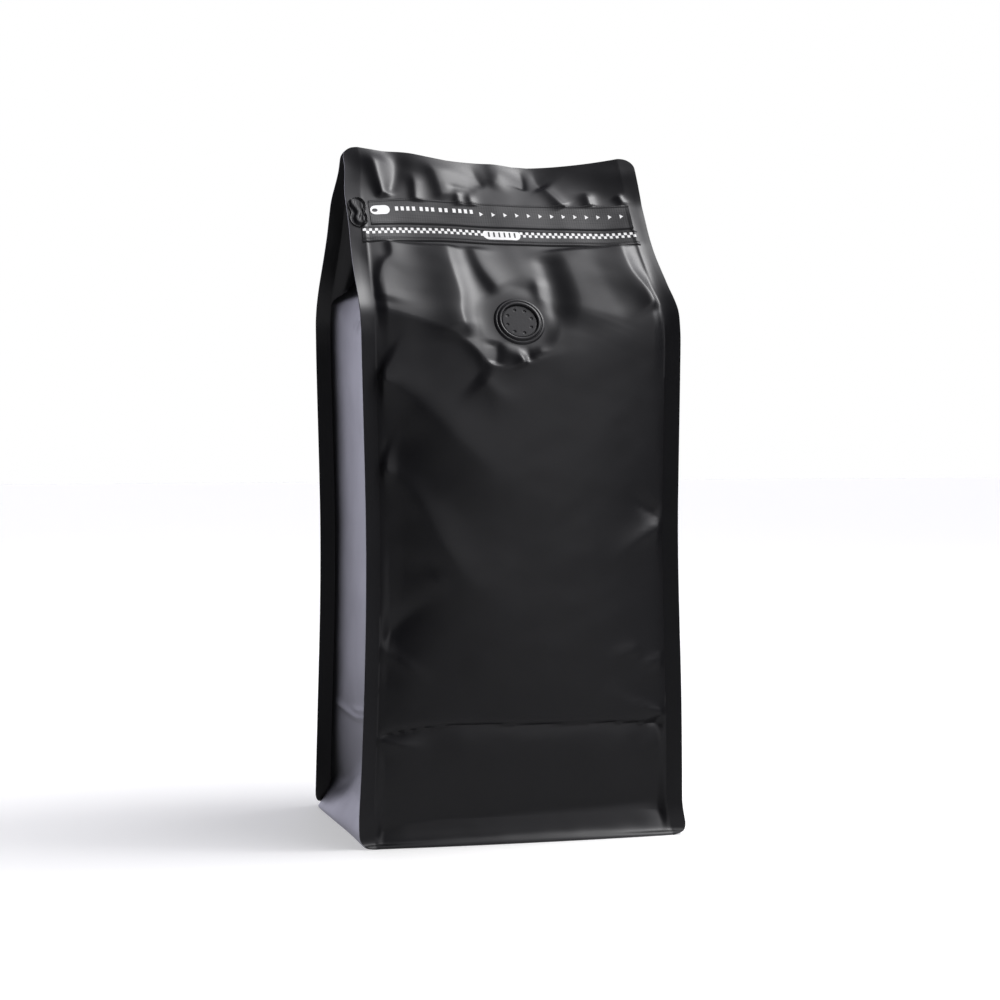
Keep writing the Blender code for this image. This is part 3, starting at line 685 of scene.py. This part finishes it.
def build_valve_rim(material):
    profile = ((11.4, 0.03), (11.3, 0.16), (11.0, 0.4), (10.6, 0.62), (10.3, 0.68), (10.05, 0.6), (9.85, 0.45),
               (9.65, 0.52), (9.45, 0.85), (9.2, 1.08), (8.9, 1.18), (8.55, 1.2), (8.3, 1.1), (8.12, 0.85),
               (7.98, 0.5), (7.9, 0.03))
    return attach(lathed("valve_rim", profile, material, "valve"), "valve_rim")


def build_valve_cap(material):
    """The flat disc inside the rim, with a ring of small round dimples."""
    holes = [(5.75 * math.cos(a), 5.75 * math.sin(a)) for a in (2 * math.pi * (i + 0.35) / 8 for i in range(8))]

    def dimples(x, y):
        return sum(-0.42 * (1 - smooth((np.hypot(x - hx, y - hy) - 0.3) / 0.45)) for hx, hy in holes)

    inner = [(r, 0.34) for r in np.arange(7.35, 0.2, -0.15)]
    profile = ((0, 0.02), (7.7, 0.02), (7.7, 0.16), (7.6, 0.28), *inner, (0, 0.34))
    cap = lathed("valve_cap", profile, material, "valve", steps=220,
                 heights=lambda x, y: dimples(x, y) * (np.hypot(x, y) < 7.3))
    return attach(cap, "valve_cap")


# ---------------------------------------------------------------- white print
def node_tree(name):
    """A new Geometry Nodes tree, with its input and output."""
    tree = bpy.data.node_groups.new(name, "GeometryNodeTree")
    tree.interface.new_socket("Geometry", in_out="OUTPUT", socket_type="NodeSocketGeometry")
    return tree, tree.nodes.new("NodeGroupInput"), tree.nodes.new("NodeGroupOutput")


def named_input(tree, name, kind, value):
    socket = tree.interface.new_socket(name, in_out="INPUT", socket_type=kind)
    if value is not None:
        socket.default_value = value
    return socket


def row_of_blocks(name, block, values, material):
    """A flat row of equal blocks, made by Geometry Nodes and turned into a plain mesh.

    block is "square" or "arrow"; values holds Start, Step, Count and Size.
    """
    tree, inputs, output = node_tree(name)
    sockets = {
        "Start": named_input(tree, "Start", "NodeSocketVector", None),
        "Step": named_input(tree, "Step", "NodeSocketVector", None),
        "Count": named_input(tree, "Count", "NodeSocketInt", 2),
        "Size": named_input(tree, "Size", "NodeSocketVector", None),
        "Material": named_input(tree, "Material", "NodeSocketMaterial", None),
    }
    add, link = tree.nodes.new, tree.links.new
    line = add("GeometryNodeMeshLine")
    link(inputs.outputs["Count"], line.inputs["Count"])
    link(inputs.outputs["Start"], line.inputs["Start Location"])
    link(inputs.outputs["Step"], line.inputs["Offset"])
    if block == "square":
        shape = add("GeometryNodeMeshCube")
        shape.inputs["Vertices X"].default_value = 3
        shape.inputs["Vertices Y"].default_value = 3
    else:
        shape = add("GeometryNodeMeshCylinder")
        shape.inputs["Vertices"].default_value = 3
        shape.inputs["Radius"].default_value = 1.0
        shape.inputs["Depth"].default_value = 1.0
    copies = add("GeometryNodeInstanceOnPoints")
    link(line.outputs["Mesh"], copies.inputs["Points"])
    link(shape.outputs["Mesh"], copies.inputs["Instance"])
    link(inputs.outputs["Size"], copies.inputs["Scale"])
    real = add("GeometryNodeRealizeInstances")
    link(copies.outputs["Instances"], real.inputs["Geometry"])
    paint = add("GeometryNodeSetMaterial")
    link(real.outputs["Geometry"], paint.inputs["Geometry"])
    link(inputs.outputs["Material"], paint.inputs["Material"])
    link(paint.outputs["Geometry"], output.inputs["Geometry"])

    carrier = bpy.data.objects.new(name, bpy.data.meshes.new(name))
    bpy.context.scene.collection.objects.link(carrier)
    modifier = carrier.modifiers.new(name, "NODES")
    modifier.node_group = tree
    for key, value in {**values, "Material": material}.items():
        modifier[sockets[key].identifier] = value
    graph = bpy.context.evaluated_depsgraph_get()
    mesh = bpy.data.meshes.new_from_object(carrier.evaluated_get(graph))
    bpy.data.objects.remove(carrier)
    return mesh


INK_LIFT = 0.42


def lay_print(name, meshes, material, lift=INK_LIFT):
    """Lays flat print, whose x, y and z are u, v and thickness in mm, on the front panel's bands."""
    merged = bmesh.new()
    for mesh in meshes:
        merged.from_mesh(mesh)
    flat = np.array([v.co[:] for v in merged.verts])
    flat[:, 2] = lift + np.where(flat[:, 2] > 0, 0.05, 0.0)
    placed = draped(flat) * MM
    for vertex, co in zip(merged.verts, placed):
        vertex.co = co
    bmesh.ops.recalc_face_normals(merged, faces=merged.faces)
    mesh = bpy.data.meshes.new(name)
    merged.to_mesh(mesh)
    merged.free()
    mesh.materials.clear()
    mesh.materials.append(material)
    obj = bpy.data.objects.new(name, mesh)
    bpy.context.scene.collection.objects.link(obj)
    obj["slot"] = "print"
    return attach(obj)


def flat_plate(outline, hole=None):
    """A flat plate one unit thick with the outline, and a hole if one is given."""
    bm = bmesh.new()
    loops = [[bm.verts.new((x, y, -0.5)) for x, y in ring] for ring in (outline, hole) if ring is not None]
    edges = [bm.edges.new((a, b)) for loop in loops for a, b in zip(loop, loop[1:] + loop[:1])]
    bmesh.ops.triangle_fill(bm, edges=edges, use_beauty=True, normal=(0, 0, 1))
    bmesh.ops.subdivide_edges(bm, edges=bm.edges[:], cuts=3, use_grid_fill=True)
    top = bmesh.ops.extrude_face_region(bm, geom=bm.faces[:])["geom"]
    bmesh.ops.translate(bm, verts=[g for g in top if isinstance(g, bmesh.types.BMVert)], vec=(0, 0, 1))
    mesh = bpy.data.meshes.new("plate")
    bm.to_mesh(mesh)
    bm.free()
    return mesh


def capsule(centre, length, height, steps=14):
    """The outline of a bar with round ends."""
    radius = height / 2
    reach = length / 2 - radius
    angles = np.linspace(-np.pi / 2, np.pi / 2, steps)
    right = [(centre[0] + reach + radius * math.cos(a), centre[1] + radius * math.sin(a)) for a in angles]
    left = [(centre[0] - reach - radius * math.cos(a), centre[1] - radius * math.sin(a)) for a in angles]
    top = [(centre[0] + x, centre[1] + radius) for x in np.linspace(reach, -reach, 16)[1:-1]]
    low = [(centre[0] + x, centre[1] - radius) for x in np.linspace(-reach, reach, 16)[1:-1]]
    return right + top + left + low


CHECK = 1.45
CHECK_V = 274.5
PILL_U, PILL_V = -0.4, 274.0


def build_checkers(material):
    """Two rows of checkers along the zipper, on either side of the pill."""
    rows = []
    for start, count in ((-67.2 + CHECK / 2, 20), (8.6 + CHECK / 2, 20)):
        for row in (0, 1):
            rows.append(row_of_blocks("checker_row", "square", {
                "Start": (start + (1 - row) * 0 + row * CHECK, CHECK_V + (0.5 - row) * 1.5, 0.0), "Step": (2 * CHECK, 0.0, 0.0),
                "Count": count, "Size": (CHECK * 0.97, 1.42, 1.0)}, material))
    return lay_print("print_checkers", rows, material)


def build_arrows(material):
    arrows = row_of_blocks("arrow_row", "arrow", {
        "Start": (-8.9, 285.5, 0.0), "Step": (5.86, 0.0, 0.0), "Count": 13, "Size": (1.15, 1.35, 1.0)}, material)
    return lay_print("print_arrows", [arrows], material)


def build_pill(material, dark):
    pill = lay_print("print_pill", [flat_plate(capsule((PILL_U, PILL_V), 18.4, 5.6))], material)
    ticks = row_of_blocks("tick_row", "square", {
        "Start": (PILL_U - 6.3, PILL_V, 0.0), "Step": (2.52, 0.0, 0.0), "Count": 6, "Size": (0.75, 2.7, 1.0)}, dark)
    ink = lay_print("pill_ticks", [ticks], dark, lift=INK_LIFT + 0.08)
    return pill, ink


def build_grip_sign(material):
    """A plain white capsule with a dark oval hole, beside the pull tab."""
    hole = [(-60.2 + 1.45 * math.cos(a), 286.1 + 1.0 * math.sin(a)) for a in np.linspace(0, 2 * np.pi, 20, endpoint=False)]
    plate = flat_plate(capsule((-57.6, 286.2), 9.6, 5.0), hole)
    return lay_print("print_grip_sign", [plate], material)


def build_word_blocks(material):
    """Four groups of plain blocks where a real bag has a line of small print."""
    rows = [row_of_blocks("word_blocks", "square", {
        "Start": (start, 286.5, 0.0), "Step": (2.75, 0.0, 0.0), "Count": count, "Size": (1.5, 2.2, 1.0)}, material)
        for start, count in ((-49.4, 4), (-37.4, 3), (-28.2, 2), (-21.6, 4))]
    return lay_print("print_word_blocks", rows, material)


# ---------------------------------------------------------------- materials
def new_material(name):
    material = bpy.data.materials.new(name)
    material.use_nodes = True
    nodes, links = material.node_tree.nodes, material.node_tree.links
    return material, nodes, links, nodes["Principled BSDF"]


def black_film():
    material, nodes, links, shader = new_material("matt_black_film")
    place = nodes.new("ShaderNodeTexCoord")
    cloud = nodes.new("ShaderNodeTexNoise")
    cloud.inputs["Scale"].default_value = 38.0
    cloud.inputs["Detail"].default_value = 4.0
    links.new(place.outputs["Object"], cloud.inputs["Vector"])
    tint = nodes.new("ShaderNodeMix")
    tint.data_type = "RGBA"
    tint.inputs["A"].default_value = (0.0050, 0.0050, 0.0058, 1)
    tint.inputs["B"].default_value = (0.0072, 0.0072, 0.0084, 1)
    links.new(cloud.outputs["Fac"], tint.inputs["Factor"])
    links.new(tint.outputs["Result"], shader.inputs["Base Color"])
    rough = nodes.new("ShaderNodeMapRange")
    rough.inputs["To Min"].default_value = 0.33
    rough.inputs["To Max"].default_value = 0.42
    links.new(cloud.outputs["Fac"], rough.inputs["Value"])
    links.new(rough.outputs["Result"], shader.inputs["Roughness"])
    grain = nodes.new("ShaderNodeTexNoise")
    grain.inputs["Scale"].default_value = 2600.0
    grain.inputs["Detail"].default_value = 2.0
    links.new(place.outputs["Object"], grain.inputs["Vector"])
    bump = nodes.new("ShaderNodeBump")
    bump.inputs["Strength"].default_value = 0.18
    bump.inputs["Distance"].default_value = 0.00006
    links.new(grain.outputs["Fac"], bump.inputs["Height"])
    links.new(bump.outputs["Normal"], shader.inputs["Normal"])
    shader.inputs["IOR"].default_value = 1.42
    return material


def band_film():
    """Satin black film with a fine grid of pressed dots."""
    material, nodes, links, shader = new_material("embossed_black_film")
    place = nodes.new("ShaderNodeTexCoord")
    cloud = nodes.new("ShaderNodeTexNoise")
    cloud.inputs["Scale"].default_value = 60.0
    links.new(place.outputs["Object"], cloud.inputs["Vector"])
    tint = nodes.new("ShaderNodeMix")
    tint.data_type = "RGBA"
    tint.inputs["A"].default_value = (0.0060, 0.0060, 0.0068, 1)
    tint.inputs["B"].default_value = (0.0090, 0.0090, 0.0100, 1)
    links.new(cloud.outputs["Fac"], tint.inputs["Factor"])
    links.new(tint.outputs["Result"], shader.inputs["Base Color"])
    shader.inputs["Roughness"].default_value = 0.44
    shader.inputs["Specular IOR Level"].default_value = 0.36
    dots = nodes.new("ShaderNodeTexVoronoi")
    dots.inputs["Scale"].default_value = 900.0
    dots.inputs["Randomness"].default_value = 0.0
    links.new(place.outputs["Object"], dots.inputs["Vector"])
    bump = nodes.new("ShaderNodeBump")
    bump.inputs["Strength"].default_value = 0.5
    bump.inputs["Distance"].default_value = 0.00012
    links.new(dots.outputs["Distance"], bump.inputs["Height"])
    links.new(bump.outputs["Normal"], shader.inputs["Normal"])
    return material


def valve_plastic():
    material, nodes, links, shader = new_material("satin_black_plastic")
    place = nodes.new("ShaderNodeTexCoord")
    grain = nodes.new("ShaderNodeTexNoise")
    grain.inputs["Scale"].default_value = 900.0
    links.new(place.outputs["Object"], grain.inputs["Vector"])
    bump = nodes.new("ShaderNodeBump")
    bump.inputs["Strength"].default_value = 0.25
    bump.inputs["Distance"].default_value = 0.0001
    links.new(grain.outputs["Fac"], bump.inputs["Height"])
    links.new(bump.outputs["Normal"], shader.inputs["Normal"])
    shader.inputs["Base Color"].default_value = (0.007, 0.007, 0.008, 1)
    shader.inputs["Roughness"].default_value = 0.36
    shader.inputs["Specular IOR Level"].default_value = 0.36
    return material


def white_ink():
    material, nodes, links, shader = new_material("matt_white_ink")
    place = nodes.new("ShaderNodeTexCoord")
    wear = nodes.new("ShaderNodeTexNoise")
    wear.inputs["Scale"].default_value = 420.0
    links.new(place.outputs["Object"], wear.inputs["Vector"])
    tint = nodes.new("ShaderNodeMix")
    tint.data_type = "RGBA"
    tint.inputs["A"].default_value = (0.74, 0.74, 0.73, 1)
    tint.inputs["B"].default_value = (0.88, 0.88, 0.87, 1)
    links.new(wear.outputs["Fac"], tint.inputs["Factor"])
    links.new(tint.outputs["Result"], shader.inputs["Base Color"])
    shader.inputs["Roughness"].default_value = 0.55
    return material


def plain_floor():
    material, nodes, links, shader = new_material("pale_floor")
    place = nodes.new("ShaderNodeTexCoord")
    cloud = nodes.new("ShaderNodeTexNoise")
    cloud.inputs["Scale"].default_value = 3.0
    links.new(place.outputs["Object"], cloud.inputs["Vector"])
    tint = nodes.new("ShaderNodeMix")
    tint.data_type = "RGBA"
    tint.inputs["A"].default_value = (0.60, 0.60, 0.59, 1)
    tint.inputs["B"].default_value = (0.63, 0.63, 0.62, 1)
    links.new(cloud.outputs["Fac"], tint.inputs["Factor"])
    links.new(tint.outputs["Result"], shader.inputs["Base Color"])
    shader.inputs["Roughness"].default_value = 0.9
    shader.inputs["Emission Color"].default_value = (1, 1, 1, 1)
    shader.inputs["Emission Strength"].default_value = 0.44
    shader.inputs["Specular IOR Level"].default_value = 0.1
    return material


# ---------------------------------------------------------------- studio
def build_floor():
    mesh = bpy.data.meshes.new("floor")
    size = 6.0
    mesh.from_pydata([(-size, -size, -0.0002), (size, -size, -0.0002), (size, size, -0.0002), (-size, size, -0.0002)],
                     [], [(0, 1, 2, 3)])
    mesh.materials.append(plain_floor())
    floor = bpy.data.objects.new("floor", mesh)
    bpy.context.scene.collection.objects.link(floor)
    floor.visible_glossy = False


def softbox(name, at, target, size, radiance):
    """A square area light, facing the target, of the given radiance."""
    light = bpy.data.lights.new(name, "AREA")
    light.shape = "RECTANGLE"
    light.size, light.size_y = size
    light.energy = radiance * math.pi * size[0] * size[1]
    obj = bpy.data.objects.new(name, light)
    obj.location = at
    obj.rotation_euler = (Vector(target) - Vector(at)).to_track_quat("-Z", "Y").to_euler()
    bpy.context.scene.collection.objects.link(obj)
    return obj


KEY_WAY = (0.61, -0.12, 0.77)


def build_world():
    """White behind the bag and above it, dim at the sides and in front; plain white where it is seen."""
    world = bpy.data.worlds.new("studio")
    bpy.context.scene.world = world
    world.use_nodes = True
    nodes, links = world.node_tree.nodes, world.node_tree.links
    nodes.clear()
    out = nodes.new("ShaderNodeOutputWorld")
    place = nodes.new("ShaderNodeTexCoord")
    split = nodes.new("ShaderNodeSeparateXYZ")
    links.new(place.outputs["Generated"], split.inputs["Vector"])

    def ramp(socket, low, high, to_low, to_high):
        step = nodes.new("ShaderNodeMapRange")
        step.interpolation_type = "SMOOTHSTEP"
        step.inputs["From Min"].default_value = low
        step.inputs["From Max"].default_value = high
        step.inputs["To Min"].default_value = to_low
        step.inputs["To Max"].default_value = to_high
        links.new(socket, step.inputs["Value"])
        return step.outputs["Result"]

    def add(a, b):
        node = nodes.new("ShaderNodeMath")
        links.new(a, node.inputs[0])
        links.new(b, node.inputs[1])
        return node.outputs[0]

    def glow(way, edge, strength):
        """A round soft glow about a direction, which dies out where the cosine falls to the edge."""
        toward = nodes.new("ShaderNodeVectorMath")
        toward.operation = "DOT_PRODUCT"
        toward.inputs[1].default_value = Vector(way).normalized()
        links.new(place.outputs["Generated"], toward.inputs[0])
        return ramp(toward.outputs["Value"], edge, 1.0, 0.0, strength)

    def times(a, b):
        node = nodes.new("ShaderNodeMath")
        node.operation = "MULTIPLY"
        links.new(a, node.inputs[0])
        links.new(b, node.inputs[1])
        return node.outputs[0]

    behind = times(ramp(split.outputs["Y"], 0.62, 0.93, 0.06, 2.15), ramp(split.outputs["Z"], -0.22, 0.0, 0.35, 1.0))
    below = ramp(split.outputs["Z"], 0.05, -0.45, 0.0, 0.42)
    high = glow(KEY_WAY, 0.76, 3.6)
    front = glow((0.33, -0.9, 0.27), 0.83, 0.95)
    lilac = nodes.new("ShaderNodeBackground")
    lilac.inputs["Color"].default_value = (0.96, 0.95, 1.16, 1)
    links.new(behind, lilac.inputs["Strength"])
    plain = nodes.new("ShaderNodeBackground")
    plain.inputs["Color"].default_value = (0.97, 0.96, 1.0, 1)
    links.new(add(below, add(high, front)), plain.inputs["Strength"])
    soft = nodes.new("ShaderNodeAddShader")
    links.new(lilac.outputs["Background"], soft.inputs[0])
    links.new(plain.outputs["Background"], soft.inputs[1])
    seen = nodes.new("ShaderNodeBackground")
    seen.inputs["Color"].default_value = (1, 1, 1, 1)
    ray = nodes.new("ShaderNodeLightPath")
    mix = nodes.new("ShaderNodeMixShader")
    links.new(ray.outputs["Is Camera Ray"], mix.inputs["Fac"])
    links.new(soft.outputs["Shader"], mix.inputs[1])
    links.new(seen.outputs["Background"], mix.inputs[2])
    links.new(mix.outputs["Shader"], out.inputs["Surface"])


def build_camera():
    """The camera stands to the left of the front, a little above the middle of the bag."""
    azimuth, reach, height = math.radians(-15.1), 0.888, 0.178
    pitch, pan = math.radians(2.0), math.radians(0.276)
    camera = bpy.data.cameras.new("camera")
    camera.sensor_width = 36.0
    camera.lens = 69.6
    camera.clip_start = 0.01
    obj = bpy.data.objects.new("camera", camera)
    obj.location = (reach * math.sin(azimuth) - 0.00066, -reach * math.cos(azimuth), height)
    turn = -azimuth
    look = Vector((math.sin(turn) * math.cos(pitch), math.cos(turn) * math.cos(pitch), -math.sin(pitch)))
    look.rotate(Matrix.Rotation(-pan, 3, "Z"))
    obj.rotation_euler = look.to_track_quat("-Z", "Y").to_euler()
    bpy.context.scene.collection.objects.link(obj)
    bpy.context.scene.camera = obj


build_camera()
build_world()
softbox("key_softbox", Vector((0, 0, 0.25)) + 1.35 * Vector(KEY_WAY).normalized(), (0, 0, 0.25), (0.55, 0.55), 13.0)
build_floor()
film, band, plastic, ink = black_film(), band_film(), valve_plastic(), white_ink()
build_bag(film)
build_zipper_band(band)
build_tear_strip(band)
build_pull_tab(band)
build_valve_rim(plastic)
build_valve_cap(plastic)
build_checkers(ink)
build_arrows(ink)
build_pill(ink, band)
build_grip_sign(ink)
build_word_blocks(ink)

bpy.context.scene.view_settings.view_transform = "Standard"
